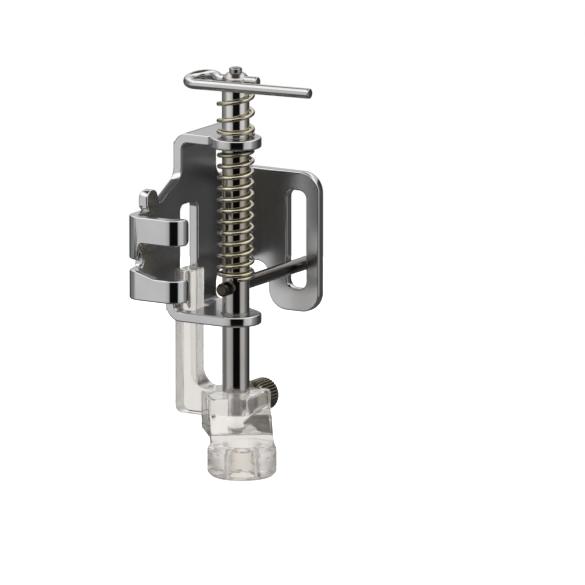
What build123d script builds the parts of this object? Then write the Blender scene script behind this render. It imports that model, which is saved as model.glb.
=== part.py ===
from build123d import *
import math
import os

# Spring-loaded presser foot for free-motion quilting, in millimetres.
# The pieces are modelled around the rod's axis: X points to the operator, Y to the machine's right and Z
# up from the sole. On export they move to the part's own frame, whose origin is the middle of the needle
# hole on the sole.

# Rod's axis, seen from the needle
ROD_FROM_NEEDLE_X = -7.5
ROD_FROM_NEEDLE_Y = 10.7

# Fits
RUNNING = 0.05
SEATING = 0.02

# Stroke of the rod above its rest, and the spare length that a guide slot keeps past it
LIFT = 8.0
GUIDE_SPARE = 1.6

# Folded sheet of the bracket
SHEET = 1.5
BEND_INNER = 0.9
SIDE_FACE_X = -8.2
EAR_RADIUS = 3.75
LOWER_EAR_TOP = 21.2
EAR_SPAN = 26.0
NECK_FRONT = -1.6
NECK_REAR = 8.2
NECK_HEIGHT = 6.3
NECK_FILLET = 2.0
TOP_EAR_STEP_FILLET = 0.8

# Clamp fingers with hooked ends, and the lug above them
FINGER_FACE_Y = -15.4
FINGER_ABOVE_EAR = 3.7
FINGER_SPAN = 12.3
FINGER_ROOT_FILLET = 1.0
HOOK_FACE_X = -0.3
HOOK_DEPTH = 3.0
HOOK_CORNER = 0.9
SCREW_SLOT = 5.0
SCREW_SLOT_ABOVE_BOTTOM = 5.9
LOWER_TAPER_START = 4.2
LOWER_TAPER_END = 7.3
LOWER_TAPER_CORNER = 1.0
UPPER_TAPER_START = 6.7
UPPER_TAPER_END = 7.0
UPPER_TAPER_CORNER = 0.6
ROOT_SLOT = 1.6
ROOT_SLOT_ABOVE_BOTTOM = 5.1
LUG_HEIGHT = 2.9
LUG_WIDTH = 2.7
LUG_FRONT = 4.2
LUG_RELIEF = 0.6
LUG_CORNER = 1.2
NOTCH_RISE = 0.6
NOTCH_WIDTH = 1.0
NOTCH_FILLET = 0.4

# Slotted back plate
BACK_FACE_Y = 17.0
BACK_END_X = 3.8
BACK_BELOW_TOP_EAR = 8.0
BACK_TAB_LEFT_X = -4.8
BACK_TAB_DROP = 2.8
BACK_WEB_ABOVE_EAR = 4.1
BACK_CORNER = 3.0
BACK_SLOT_WIDTH = 3.2
BACK_SLOT_CORNER = 1.2
BACK_SLOT_BELOW_PIN = 2.4
BACK_SLOT_ABOVE_PIN = 2.2

# Plunger rod
ROD_D = 4.0
ROD_ABOVE_TOP_EAR = 9.5
ROD_TOP_SLOPE = 0.8
ROD_TIP_D = 2.1
ROD_TIP_LENGTH = 4.4
ROD_TIP_CHAMFER = 0.3

# Guide pin across the rod
PIN_D = 2.0
PIN_ABOVE_EAR = 4.0
PIN_FRONT = 4.0
PIN_BEHIND_PLATE = 1.5
PIN_CHAMFER = 0.25

# Lifter lever, one bent wire whose plane is tilted about its short leg and rolled up to the right
LEVER_WIRE = 1.5
LEVER_FACETS = 10
LEVER_BELOW_ROD_TOP = 1.2
LEVER_SPREAD = 2.8
LEVER_LONG_END = 14.2
LEVER_SHORT_END = 3.8
LEVER_LOOP_R = 2.1
LEVER_RETURN_R = 1.5
LEVER_TILT = 10.0
LEVER_ROLL = 1.4
LEVER_STRAIGHT_BESIDE_ROD = 0.3

# Set screw in the rod's top end
SET_SCREW_D = 1.9
SET_SCREW_PROUD = 0.7
SET_SCREW_CHAMFER = 0.15
SET_SCREW_SLOT = 0.45
SET_SCREW_SLOT_DEPTH = 0.45

# Springs. A coil's square section has the area of its round wire
SPRING_ROOM = 0.15
SECTION_SHARE = math.sqrt(math.pi) / 2
COIL_STEPS = 12
LOWER_WIRE = 0.6
LOWER_COILS = 10.8
LOWER_CLOSED_BOTTOM = 1.25
LOWER_CLOSED_TOP = 0.6
UPPER_WIRE = 0.65
UPPER_COILS = 2.45
UPPER_CLOSED_BOTTOM = 1.0

# Clear foot: guide post, arm and block
POST_THICK = 2.9
POST_PROUD = 1.45
POST_CENTRE_Y = 0.5
POST_WIDTH = 3.6
POST_ABOVE_EAR = 5.7
POST_CORNER = 0.3
HEAD_LEDGE = 0.1
GUIDE_ROOM = 0.45
GUIDE_FRONT_ROOM = 0.4
GUIDE_CORNER = 1.0
HEAD_HEIGHT = 3.3
ARM_BOTTOM = 5.6
ARM_FILLET = 2.6
ARM_CORNER = 1.2
BLOCK_BOTTOM = 3.9
BLOCK_TOP = 9.6
BLOCK_LEFT_X = -5.1
BLOCK_RIGHT_X = 3.5
BLOCK_REAR_Y = 4.2
BLOCK_REAR_LEFT_X = -3.6
BLOCK_FRONT = 5.8
BLOCK_FRONT_RIGHT = 1.6
BLOCK_CORNER = 0.4
BLOCK_EDGE = 0.3
BORE_ROOM = 0.25
TIP_ROOM = 0.2

# Clear foot: needle ring and the neck that carries it
RING_R = 5.0
RING_HEIGHT = 4.6
RING_EDGE = 0.6
NEEDLE_HOLE_R = 2.0
FUNNEL_R = 2.8
FUNNEL_DEPTH = 1.2
NECK_LEFT = 4.2
NECK_RIGHT = 4.85
NECK_BEHIND = 1.5
NECK_TOP = 7.2
NECK_SLOPE_FOOT = 3.8
NECK_FOOT = 1.0
NECK_UNDER_START = 2.0
NECK_UNDER_END = 1.0
NECK_BEND = 1.5
NECK_TOP_BEND = 1.0
NECK_STEP = 0.2

# Thumb screw
SCREW_Z = 7.8
SCREW_D = 3.0
SCREW_END_GAP = 0.05
HEAD_D = 4.9
HEAD_LENGTH = 4.2
HEAD_GAP = 0.1
HEAD_CHAMFER = 0.4
KNURLS = 20
KNURL_DEPTH = 0.25

# Worked out from the sizes above
TOP_EAR_TOP = LOWER_EAR_TOP + EAR_SPAN
SHOULDER_Z = TOP_EAR_TOP - NECK_HEIGHT
FINGER_BOTTOM = LOWER_EAR_TOP + FINGER_ABOVE_EAR
FINGER_TOP = FINGER_BOTTOM + FINGER_SPAN
SCREW_SLOT_Z = FINGER_BOTTOM + SCREW_SLOT_ABOVE_BOTTOM
ROOT_SLOT_Z = FINGER_BOTTOM + ROOT_SLOT_ABOVE_BOTTOM
BACK_TOP = TOP_EAR_TOP - BACK_BELOW_TOP_EAR
BACK_TAB_BOTTOM = LOWER_EAR_TOP - BACK_TAB_DROP
BACK_WEB_BOTTOM = LOWER_EAR_TOP + BACK_WEB_ABOVE_EAR
ROD_TOP = TOP_EAR_TOP + ROD_ABOVE_TOP_EAR
PIN_Z = LOWER_EAR_TOP + PIN_ABOVE_EAR
LEVER_Z = ROD_TOP - LEVER_BELOW_ROD_TOP
POST_TOP = LOWER_EAR_TOP + POST_ABOVE_EAR
SIDE_BACK_X = SIDE_FACE_X - SHEET
SIDE_MID_X = SIDE_FACE_X - SHEET / 2
BEND_MID = BEND_INNER + SHEET / 2
POST_FACE_X = SIDE_FACE_X + POST_PROUD
POST_BACK_X = POST_FACE_X - POST_THICK
HEAD_WIDTH = POST_WIDTH + 2 * HEAD_LEDGE
GUIDE_WIDTH = HEAD_WIDTH + 2 * GUIDE_ROOM
NEEDLE_X = -ROD_FROM_NEEDLE_X
NEEDLE_Y = -ROD_FROM_NEEDLE_Y
PIN_TOP = PIN_Z + PIN_D / 2
NECK_RUN = math.hypot(NEEDLE_X, NEEDLE_Y)
NECK_HEADING = math.degrees(math.atan2(NEEDLE_Y, NEEDLE_X))
SCREW_SLOT_BOTTOM = SCREW_SLOT_Z - SCREW_SLOT / 2
SCREW_SLOT_TOP = SCREW_SLOT_Z + SCREW_SLOT / 2
LEVER_RISE = math.tan(math.radians(LEVER_ROLL))
REACH = 100.0
TOUCH = 1e-6


def outline(corners):
    """A closed face through corners given as (u, v, corner radius)."""
    points = [(u, v) for u, v, _ in corners]
    radii = [radius for _, _, radius in corners]
    return make_face(FilletPolyline(*points, radius=radii, close=True))


def along_x(face, start, end):
    """The (Y, Z) face carried along X."""
    plane = Plane(origin=(start, 0, 0), x_dir=(0, 1, 0), z_dir=(1, 0, 0))
    return extrude(plane * face, end - start, dir=(1, 0, 0))


def along_y(face, start, end):
    """The (X, Z) face carried along Y."""
    plane = Plane(origin=(0, start, 0), x_dir=(1, 0, 0), z_dir=(0, -1, 0))
    return extrude(plane * face, end - start, dir=(0, 1, 0))


def along_z(face, start, end):
    """The (X, Y) face carried along Z."""
    return extrude(Pos(0, 0, start) * face, end - start, dir=(0, 0, 1))


def rod_hole(radius, start, end):
    """A round cutter on the rod's axis."""
    return along_z(Circle(radius), start, end)


def side_plate_outline():
    """Side view of the sheet: necks, finger root, lug, and the web that runs back to the back plate."""
    lug_front = FINGER_FACE_Y + LUG_FRONT
    lug_rear = lug_front + LUG_WIDTH
    lug_top = FINGER_TOP + LUG_HEIGHT
    notch = FINGER_TOP + NOTCH_RISE
    past_fingers = FINGER_FACE_Y - SHEET
    past_back = BACK_FACE_Y + 2 * SHEET
    bend_start = BACK_FACE_Y - BEND_INNER
    return outline([
        (-EAR_RADIUS, LOWER_EAR_TOP, 0),
        (-EAR_RADIUS, FINGER_BOTTOM, FINGER_ROOT_FILLET),
        (past_fingers, FINGER_BOTTOM, 0),
        (past_fingers, FINGER_TOP, 0),
        (lug_front + LUG_RELIEF, FINGER_TOP, 0),
        (lug_front, FINGER_TOP + LUG_RELIEF, 0),
        (lug_front, lug_top, LUG_CORNER),
        (lug_rear, lug_top, LUG_CORNER),
        (lug_rear + NOTCH_WIDTH, notch, NOTCH_FILLET),
        (NECK_FRONT, SHOULDER_Z, NECK_FILLET),
        (NECK_FRONT, TOP_EAR_TOP - SHEET, 0),
        (NECK_REAR, TOP_EAR_TOP - SHEET, 0),
        (NECK_REAR, BACK_TOP, NECK_FILLET),
        (past_back, BACK_TOP, 0),
        (past_back, BACK_TAB_BOTTOM, 0),
        (bend_start, BACK_TAB_BOTTOM, 0),
        (bend_start, BACK_WEB_BOTTOM, 0),
        (NECK_REAR, BACK_WEB_BOTTOM, NECK_FILLET),
        (NECK_REAR, LOWER_EAR_TOP, 0),
    ])


def back_plate_outline():
    """Front view of the back plate: web, rounded tab, and the slot that guides the pin."""
    left = SIDE_BACK_X - SHEET
    plate = outline([
        (left, BACK_WEB_BOTTOM, 0),
        (BACK_TAB_LEFT_X, BACK_WEB_BOTTOM, NECK_FILLET),
        (BACK_TAB_LEFT_X, BACK_TAB_BOTTOM, BACK_CORNER),
        (BACK_END_X, BACK_TAB_BOTTOM, BACK_CORNER),
        (BACK_END_X, BACK_TOP, BACK_CORNER),
        (left, BACK_TOP, 0),
    ])
    slot_bottom = PIN_Z - PIN_D / 2 - BACK_SLOT_BELOW_PIN
    slot_top = PIN_TOP + LIFT + BACK_SLOT_ABOVE_PIN
    half = BACK_SLOT_WIDTH / 2
    slot = outline([
        (-half, slot_bottom, BACK_SLOT_CORNER),
        (half, slot_bottom, BACK_SLOT_CORNER),
        (half, slot_top, BACK_SLOT_CORNER),
        (-half, slot_top, BACK_SLOT_CORNER),
    ])
    return plate - slot


def finger_outline():
    """Front view of the two fingers, whose gap narrows to a root slot at the side plate."""
    left = SIDE_BACK_X - SHEET
    right = HOOK_FACE_X + SHEET
    lower = outline([
        (left, FINGER_BOTTOM, 0),
        (right, FINGER_BOTTOM, 0),
        (right, SCREW_SLOT_BOTTOM, 0),
        (HOOK_FACE_X - LOWER_TAPER_START, SCREW_SLOT_BOTTOM, LOWER_TAPER_CORNER),
        (HOOK_FACE_X - LOWER_TAPER_END, ROOT_SLOT_Z - ROOT_SLOT / 2, LOWER_TAPER_CORNER),
        (left, ROOT_SLOT_Z - ROOT_SLOT / 2, 0),
    ])
    upper = outline([
        (left, FINGER_TOP, 0),
        (right, FINGER_TOP, 0),
        (right, SCREW_SLOT_TOP, 0),
        (HOOK_FACE_X - UPPER_TAPER_START, SCREW_SLOT_TOP, UPPER_TAPER_CORNER),
        (HOOK_FACE_X - UPPER_TAPER_END, ROOT_SLOT_Z + ROOT_SLOT / 2, UPPER_TAPER_CORNER),
        (left, ROOT_SLOT_Z + ROOT_SLOT / 2, 0),
    ])
    return lower + upper


def hook_outline():
    """Side view of the fingers' hooked ends, with rounded free corners."""
    start = FINGER_FACE_Y - SHEET
    end = FINGER_FACE_Y + HOOK_DEPTH
    lower = outline([
        (start, FINGER_BOTTOM, 0),
        (end, FINGER_BOTTOM, HOOK_CORNER),
        (end, SCREW_SLOT_BOTTOM, HOOK_CORNER),
        (start, SCREW_SLOT_BOTTOM, 0),
    ])
    upper = outline([
        (start, SCREW_SLOT_TOP, 0),
        (end, SCREW_SLOT_TOP, HOOK_CORNER),
        (end, FINGER_TOP, HOOK_CORNER),
        (start, FINGER_TOP, 0),
    ])
    return lower + upper


def standing_sheet():
    """Fingers, side plate and back plate: one strip bent to a hook, then cut to its outlines."""
    hook_mid_x = HOOK_FACE_X - SHEET / 2
    finger_mid_y = FINGER_FACE_Y + SHEET / 2
    back_mid_y = BACK_FACE_Y + SHEET / 2
    mid_line = FilletPolyline(
        (hook_mid_x, FINGER_FACE_Y + HOOK_DEPTH),
        (hook_mid_x, finger_mid_y),
        (SIDE_MID_X, finger_mid_y),
        (SIDE_MID_X, back_mid_y),
        (BACK_END_X, back_mid_y),
        radius=BEND_MID,
    )
    sheet = along_z(trace(mid_line, SHEET), BACK_TAB_BOTTOM - SHEET, TOP_EAR_TOP)
    sheet = sheet & along_x(side_plate_outline(), -REACH, REACH)
    back_zone = Pos(0, BACK_FACE_Y - BEND_INNER, 0) * Box(
        REACH, REACH, REACH * 2, align=(Align.CENTER, Align.MIN, Align.CENTER)
    )
    sheet = sheet - (back_zone - along_y(back_plate_outline(), 0, REACH))
    bend_end = FINGER_FACE_Y + SHEET + BEND_INNER
    finger_zone = along_z(Pos(0, bend_end - REACH / 2) * Rectangle(REACH, REACH), FINGER_BOTTOM, FINGER_TOP)
    sheet = sheet - (finger_zone - along_y(finger_outline(), -REACH, REACH))
    hook_zone = Pos(HOOK_FACE_X - SHEET - BEND_INNER, 0, 0) * Box(
        REACH, REACH, REACH * 2, align=(Align.MIN, Align.MAX, Align.CENTER)
    )
    sheet = sheet - (hook_zone - along_x(hook_outline(), -REACH, REACH))
    end_round = Pos(bend_end, ROOT_SLOT_Z) * Circle(ROOT_SLOT / 2)
    return sheet - along_x(end_round, SIDE_BACK_X - SHEET, SIDE_FACE_X + SHEET)


def rear_tangent():
    """Where the line from the neck's rear corner touches the ear's round end."""
    corner_x = SIDE_FACE_X + BEND_INNER
    distance = math.hypot(corner_x, NECK_REAR)
    angle = math.atan2(NECK_REAR, corner_x) - math.acos(EAR_RADIUS / distance)
    return EAR_RADIUS * math.cos(angle), EAR_RADIUS * math.sin(angle)


def ear(top, front_y, step_fillet, hang):
    """One ear bent out of the side plate, with a round end on the rod and a short leg into the plate.

    hang is the leg's direction: -1 down from the top ear, 1 up from the lower one.
    """
    mid_z = top - SHEET / 2
    leg = BEND_MID + SHEET
    profile = FilletPolyline(
        (EAR_RADIUS, mid_z), (SIDE_MID_X, mid_z), (SIDE_MID_X, mid_z + hang * leg), radius=BEND_MID
    )
    bent = along_y(trace(profile, SHEET), -REACH, REACH)
    left = SIDE_BACK_X - SHEET
    touch_x, touch_y = rear_tangent()
    web = make_face(Polyline(
        (left, front_y), (0, front_y), (touch_x, touch_y), (SIDE_FACE_X + BEND_INNER, NECK_REAR),
        (left, NECK_REAR), close=True,
    ))
    plan = web + Circle(EAR_RADIUS)
    if step_fillet:
        step = plan.vertices().filter_by(lambda v: abs(v.Y - front_y) < TOUCH).sort_by(Axis.X)[-1]
        plan = fillet(step, step_fillet)
    return bent & along_z(plan, top - SHEET - leg, top + leg)


def bracket():
    """The whole folded sheet, with the rod's holes and the post's guide slot cut through it."""
    sheet = standing_sheet()
    sheet = sheet + ear(TOP_EAR_TOP, NECK_FRONT, TOP_EAR_STEP_FILLET, -1)
    sheet = sheet + ear(LOWER_EAR_TOP, -EAR_RADIUS, 0, 1)
    sheet = sheet - rod_hole(ROD_D / 2 + RUNNING, 0, REACH)
    half = GUIDE_WIDTH / 2
    guide_top = POST_TOP + LIFT + GUIDE_SPARE
    guide = outline([
        (POST_CENTRE_Y - half, 0, 0),
        (POST_CENTRE_Y + half, 0, 0),
        (POST_CENTRE_Y + half, guide_top, GUIDE_CORNER),
        (POST_CENTRE_Y - half, guide_top, GUIDE_CORNER),
    ])
    return sheet - along_x(guide, SIDE_BACK_X - SHEET, POST_FACE_X + GUIDE_FRONT_ROOM)


def lever_place():
    """Where the lever's wire sits: tilted about its short leg, rolled, and lifted to its cross hole."""
    return Pos(0, 0, LEVER_Z) * Rot(0, -LEVER_ROLL, 0) * Rot(LEVER_TILT, 0, 0)


def plunger_rod():
    """Turned rod: round top, cross holes for lever and pin, hole for the set screw, reduced tip."""
    tip_bottom = BLOCK_TOP - ROD_TIP_LENGTH
    body = along_z(Circle(ROD_D / 2), BLOCK_TOP, ROD_TOP)
    body = chamfer(body.edges().sort_by(Axis.Z)[-1], ROD_TOP_SLOPE)
    tip = along_z(Circle(ROD_TIP_D / 2), tip_bottom, BLOCK_TOP)
    tip = chamfer(tip.edges().sort_by(Axis.Z)[0], ROD_TIP_CHAMFER)
    pin_hole = Pos(0, PIN_Z) * Circle(PIN_D / 2 + SEATING)
    body = body + tip
    body = body - along_y(pin_hole, -ROD_D, ROD_D)
    body = body - lever_place() * along_x(Circle(LEVER_WIRE / 2 + SEATING), -ROD_D, ROD_D)
    return body - rod_hole(SET_SCREW_D / 2 + SEATING, LEVER_Z, REACH)


def guide_pin():
    """Straight pin across the rod, long enough to pass through the back plate's slot."""
    end = BACK_FACE_Y + SHEET + PIN_BEHIND_PLATE
    pin = along_y(Pos(0, PIN_Z) * Circle(PIN_D / 2), -PIN_FRONT, end)
    return chamfer(pin.edges().filter_by(GeomType.CIRCLE), PIN_CHAMFER)


def lifter_lever():
    """Bent wire: long leg, loop round the left, return curve, short leg through the rod."""
    return_x = -ROD_D / 2 - LEVER_STRAIGHT_BESIDE_ROD
    loop_y = LEVER_LOOP_R - LEVER_SPREAD
    rise = LEVER_RETURN_R - loop_y
    loop_x = return_x - math.sqrt((LEVER_LOOP_R + LEVER_RETURN_R) ** 2 - rise**2)
    lean = math.degrees(math.atan2(rise, return_x - loop_x))
    path = Wire([
        Line((LEVER_LONG_END, -LEVER_SPREAD), (loop_x, -LEVER_SPREAD)).edge(),
        CenterArc((loop_x, loop_y), LEVER_LOOP_R, -90, lean - 270).edge(),
        CenterArc((return_x, LEVER_RETURN_R), LEVER_RETURN_R, 180 + lean, 90 - lean).edge(),
        Line((return_x, 0), (LEVER_SHORT_END, 0)).edge(),
    ])
    start = Plane(path @ 0, z_dir=path % 0)
    wire = sweep(start * RegularPolygon(LEVER_WIRE / 2, LEVER_FACETS), path)
    return lever_place() * wire


def lever_set_screw():
    """Slotted screw that presses on the wire from the rod's top end."""
    bottom = LEVER_Z + LEVER_WIRE / 2 + SET_SCREW_D / 2 * LEVER_RISE + SEATING
    screw = rod_hole(SET_SCREW_D / 2, bottom, ROD_TOP + SET_SCREW_PROUD)
    screw = chamfer(screw.edges().sort_by(Axis.Z)[-1], SET_SCREW_CHAMFER)
    slot = Rectangle(SET_SCREW_D * 2, SET_SCREW_SLOT)
    return screw - along_z(slot, ROD_TOP + SET_SCREW_PROUD - SET_SCREW_SLOT_DEPTH, REACH)


def coil_spring(wire, bottom, top, end_angle, coils, closed_bottom, closed_top):
    """Coil spring between two levels, with closed turns at its ends.

    The square section climbs in straight steps, and the open turns share what height the closed ones leave.
    """
    side = wire * SECTION_SHARE
    mean_r = ROD_D / 2 + SPRING_ROOM + wire / 2
    closed_pitch = side + SEATING
    room = top - bottom - side - 2 * SEATING
    open_pitch = (room - closed_pitch * (closed_bottom + closed_top)) / coils
    corners = [(u * side / 2, v * side / 2) for u, v in ((1, 1), (-1, 1), (-1, -1), (1, -1))]

    def section(angle, level):
        turn = math.radians(angle)
        points = [(mean_r + u, level + v) for u, v in corners]
        return [Vector(r * math.cos(turn), r * math.sin(turn), z) for r, z in points]

    angle = end_angle - 360 * (closed_bottom + coils + closed_top)
    level = bottom + side / 2 + SEATING
    stations = [section(angle, level)]
    for pitch, turns in ((closed_pitch, closed_bottom), (open_pitch, coils), (closed_pitch, closed_top)):
        steps = math.ceil(turns * COIL_STEPS)
        for _ in range(steps):
            angle += 360 * turns / steps
            level += pitch * turns / steps
            stations.append(section(angle, level))
    faces = [Face(Wire.make_polygon(end, close=True)) for end in (stations[0], stations[-1])]
    for near, far in zip(stations, stations[1:]):
        rails = [Edge.make_line(a, b) for a, b in zip(near, far)]
        for rail, following in zip(rails, rails[1:] + rails[:1]):
            faces.append(Face.make_surface_from_curves(rail, following))
    return Solid(Shell(faces))


def lower_spring():
    """Long spring from the guide pin up to the top ear."""
    return coil_spring(
        LOWER_WIRE, PIN_TOP, TOP_EAR_TOP - SHEET, -180, LOWER_COILS, LOWER_CLOSED_BOTTOM, LOWER_CLOSED_TOP
    )


def upper_spring():
    """Short spring from the top ear up to the lever's short leg, with its open end under the wire."""
    outer_r = ROD_D / 2 + SPRING_ROOM + UPPER_WIRE
    top = LEVER_Z - LEVER_WIRE / 2 - outer_r * LEVER_RISE
    return coil_spring(UPPER_WIRE, TOP_EAR_TOP, top, 180, UPPER_COILS, UPPER_CLOSED_BOTTOM, 0)


def foot_post():
    """Guide post and arm as one bent bar, with a wider head that runs in the guide slot."""
    profile = outline([
        (POST_BACK_X, ARM_BOTTOM, ARM_CORNER),
        (0, ARM_BOTTOM, 0),
        (0, BLOCK_TOP, 0),
        (POST_FACE_X, BLOCK_TOP, ARM_FILLET),
        (POST_FACE_X, POST_TOP, POST_CORNER),
        (POST_BACK_X, POST_TOP, POST_CORNER),
    ])
    bar = along_y(profile, POST_CENTRE_Y - POST_WIDTH / 2, POST_CENTRE_Y + POST_WIDTH / 2)
    head_zone = outline([
        (POST_BACK_X, POST_TOP - HEAD_HEIGHT, 0),
        (POST_FACE_X, POST_TOP - HEAD_HEIGHT, 0),
        (POST_FACE_X, POST_TOP, POST_CORNER),
        (POST_BACK_X, POST_TOP, POST_CORNER),
    ])
    return bar + along_y(head_zone, POST_CENTRE_Y - HEAD_WIDTH / 2, POST_CENTRE_Y + HEAD_WIDTH / 2)


def beside_neck(along, right):
    """Plan point at a distance along the neck from the rod's axis, and another to the neck's right."""
    point = Vector(along, right).rotate(Axis.Z, NECK_HEADING)
    return point.X, point.Y


def foot_block():
    """Block round the rod's tip: it narrows from the arm to a front face square to the neck."""
    arm_front = POST_CENTRE_Y - POST_WIDTH / 2
    arm_rear = POST_CENTRE_Y + POST_WIDTH / 2
    plan = outline([
        (BLOCK_LEFT_X, arm_front, 0),
        (*beside_neck(BLOCK_FRONT, -NECK_LEFT), BLOCK_CORNER),
        (*beside_neck(BLOCK_FRONT, BLOCK_FRONT_RIGHT), BLOCK_CORNER),
        (BLOCK_RIGHT_X, BLOCK_REAR_Y, BLOCK_CORNER),
        (BLOCK_REAR_LEFT_X, BLOCK_REAR_Y, BLOCK_CORNER),
        (BLOCK_LEFT_X, arm_rear, 0),
    ])
    block = along_z(plan, BLOCK_BOTTOM, BLOCK_TOP)
    rim = block.faces().sort_by(Axis.Z)[-1].edges()
    return chamfer(rim.sort_by(Axis.X)[1:], BLOCK_EDGE)


def foot_neck():
    """Sloping neck from under the block's front face down to the needle ring."""
    side = outline([
        (-NECK_BEHIND, BLOCK_BOTTOM, 0),
        (NECK_RUN - RING_R - NECK_UNDER_START, BLOCK_BOTTOM, NECK_BEND),
        (NECK_RUN - RING_R + NECK_UNDER_END, NECK_FOOT, 0),
        (NECK_RUN, NECK_FOOT, 0),
        (NECK_RUN, RING_HEIGHT - NECK_STEP, 0),
        (NECK_RUN - NECK_SLOPE_FOOT, RING_HEIGHT - NECK_STEP, NECK_BEND),
        (BLOCK_FRONT, NECK_TOP, NECK_TOP_BEND),
        (-NECK_BEHIND, NECK_TOP, 0),
    ])
    return Rot(0, 0, NECK_HEADING) * along_y(side, -NECK_LEFT, NECK_RIGHT)


def clear_foot():
    """The moulded foot: post, arm, block, neck and needle ring, with the bores for rod and thumb screw."""
    ring = along_z(Pos(NEEDLE_X, NEEDLE_Y) * Circle(RING_R), 0, RING_HEIGHT)
    ring = chamfer(ring.edges().filter_by(GeomType.CIRCLE), RING_EDGE)
    foot = foot_block() + foot_post() + foot_neck() + ring
    needle_axis = Pos(NEEDLE_X, NEEDLE_Y, 0)
    foot = foot - needle_axis * Cylinder(NEEDLE_HOLE_R, REACH)
    funnel_middle = RING_HEIGHT - FUNNEL_DEPTH / 2
    foot = foot - needle_axis * Pos(0, 0, funnel_middle) * Cone(NEEDLE_HOLE_R, FUNNEL_R, FUNNEL_DEPTH)
    tip_bottom = BLOCK_TOP - ROD_TIP_LENGTH
    foot = foot - rod_hole(ROD_TIP_D / 2 + BORE_ROOM, tip_bottom - TIP_ROOM, BLOCK_TOP)
    thread = Pos(0, SCREW_Z) * Circle(SCREW_D / 2 + RUNNING)
    return foot - along_y(thread, 0, BLOCK_REAR_Y)


def thumb_screw():
    """Straight-knurled head with chamfered ends, on a stem that reaches the rod's tip."""
    head_start = BLOCK_REAR_Y + HEAD_GAP
    head_end = head_start + HEAD_LENGTH
    peak = HEAD_D / 2
    valley = peak - KNURL_DEPTH
    points = []
    for k in range(2 * KNURLS):
        radius = peak if k % 2 == 0 else valley
        turn = math.pi * k / KNURLS
        points.append((radius * math.cos(turn), radius * math.sin(turn)))
    knurled = along_y(make_face(Polyline(*points, close=True)), head_start, head_end)
    blank = along_y(Circle(peak), head_start, head_end)
    blank = chamfer(blank.edges().filter_by(GeomType.CIRCLE), HEAD_CHAMFER)
    stem = along_y(Circle(SCREW_D / 2), ROD_TIP_D / 2 + SCREW_END_GAP, head_start)
    return Pos(0, 0, SCREW_Z) * ((knurled & blank) + stem)


PIECES = {
    "bracket": bracket,
    "plunger_rod": plunger_rod,
    "lifter_lever": lifter_lever,
    "lever_set_screw": lever_set_screw,
    "upper_spring": upper_spring,
    "lower_spring": lower_spring,
    "guide_pin": guide_pin,
    "clear_foot": clear_foot,
    "thumb_screw": thumb_screw,
}

os.makedirs("parts", exist_ok=True)
for name, make in PIECES.items():
    piece = Pos(ROD_FROM_NEEDLE_X, ROD_FROM_NEEDLE_Y, 0) * make()
    export_step(piece, f"parts/{name}.step")
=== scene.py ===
"""Looks of a spring-loaded presser foot for free-motion quilting.

Every size is in millimetres until a mesh or the camera is made. X points to the operator, Y to the
machine's right and Z up from the sole, with the needle hole's middle as the origin.
"""

import logging
import math
from dataclasses import dataclass
from enum import Enum

import bmesh
import bpy
import numpy as np
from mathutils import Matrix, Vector


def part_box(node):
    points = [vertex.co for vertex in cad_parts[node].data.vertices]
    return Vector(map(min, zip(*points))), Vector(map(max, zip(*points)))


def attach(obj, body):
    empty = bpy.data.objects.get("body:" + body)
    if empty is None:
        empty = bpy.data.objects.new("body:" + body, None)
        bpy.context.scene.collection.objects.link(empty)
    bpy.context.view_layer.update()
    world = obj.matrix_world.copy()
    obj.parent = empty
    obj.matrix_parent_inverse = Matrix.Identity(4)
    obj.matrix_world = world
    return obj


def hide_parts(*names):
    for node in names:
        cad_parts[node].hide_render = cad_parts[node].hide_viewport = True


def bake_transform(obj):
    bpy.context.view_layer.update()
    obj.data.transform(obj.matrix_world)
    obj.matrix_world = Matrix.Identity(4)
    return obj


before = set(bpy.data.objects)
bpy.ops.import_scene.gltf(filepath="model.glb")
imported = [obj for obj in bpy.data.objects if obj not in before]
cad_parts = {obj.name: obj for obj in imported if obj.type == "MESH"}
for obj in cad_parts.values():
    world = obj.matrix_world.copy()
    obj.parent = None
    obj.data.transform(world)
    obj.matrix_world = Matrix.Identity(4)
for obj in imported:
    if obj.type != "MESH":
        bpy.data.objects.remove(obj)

Array = np.ndarray
Piece = bpy.types.Object
Socket = bpy.types.NodeSocket
Colour = tuple[float, float, float]

MM = 0.001
TURN = 2 * math.pi
WHITE: Colour = (1.0, 1.0, 1.0)
IMAGE_PX = 585

# How meshes are joined, shaded and rounded
MERGE = 0.002
FLAT_ANGLE = math.radians(0.4)
SMOOTH_ANGLE = math.radians(35)
EDGE_ANGLE = math.radians(32)
RIM_STEPS = 6

# Attributes that a mesh carries for its finish
GROOVES = "groove_depth"
FLATS = "flat_face"

# Colour sockets of Blender's Mix node, and the distance between nodes
MIX_BELOW = 6
MIX_ABOVE = 7
MIX_RESULT = 2
NODE_STEP = 220

log = logging.getLogger("presser_foot")


class Body(Enum):
    """The bodies that the pieces ride on."""

    BRACKET = "bracket"
    PLUNGER = "plunger"
    THUMB_SCREW = "thumb_screw"


class Grain(Enum):
    """How a metal's fine lines run, as the stretch of their pattern along X, Y and Z."""

    ALONG_X = (0.06, 1.0, 1.0)
    ALONG_Y = (1.0, 0.06, 1.0)
    ALONG_Z = (1.0, 1.0, 0.06)
    AROUND_Z = (0.12, 0.12, 1.0)
    EVEN = (1.0, 1.0, 1.0)


class Axis(Enum):
    """The axes that a stretch of a piece can lie along."""

    Y = "Y"
    Z = "Z"


def node_box(node: str) -> tuple[Array, Array]:
    """Gives the box of a CAD node at rest.

    Args:
        node: the node's name.

    Returns:
        Its lowest and highest corners, in millimetres.
    """
    low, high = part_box(node)
    return np.array(low) / MM, np.array(high) / MM


def middle(node: str) -> Array:
    """Gives the middle of a CAD node's box, in millimetres."""
    low, high = node_box(node)
    return (low + high) / 2


def half_width(node: str) -> float:
    """Gives half a CAD node's size along X, which is a turned piece's radius, in millimetres."""
    low, high = node_box(node)
    return (high[0] - low[0]) / 2


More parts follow.
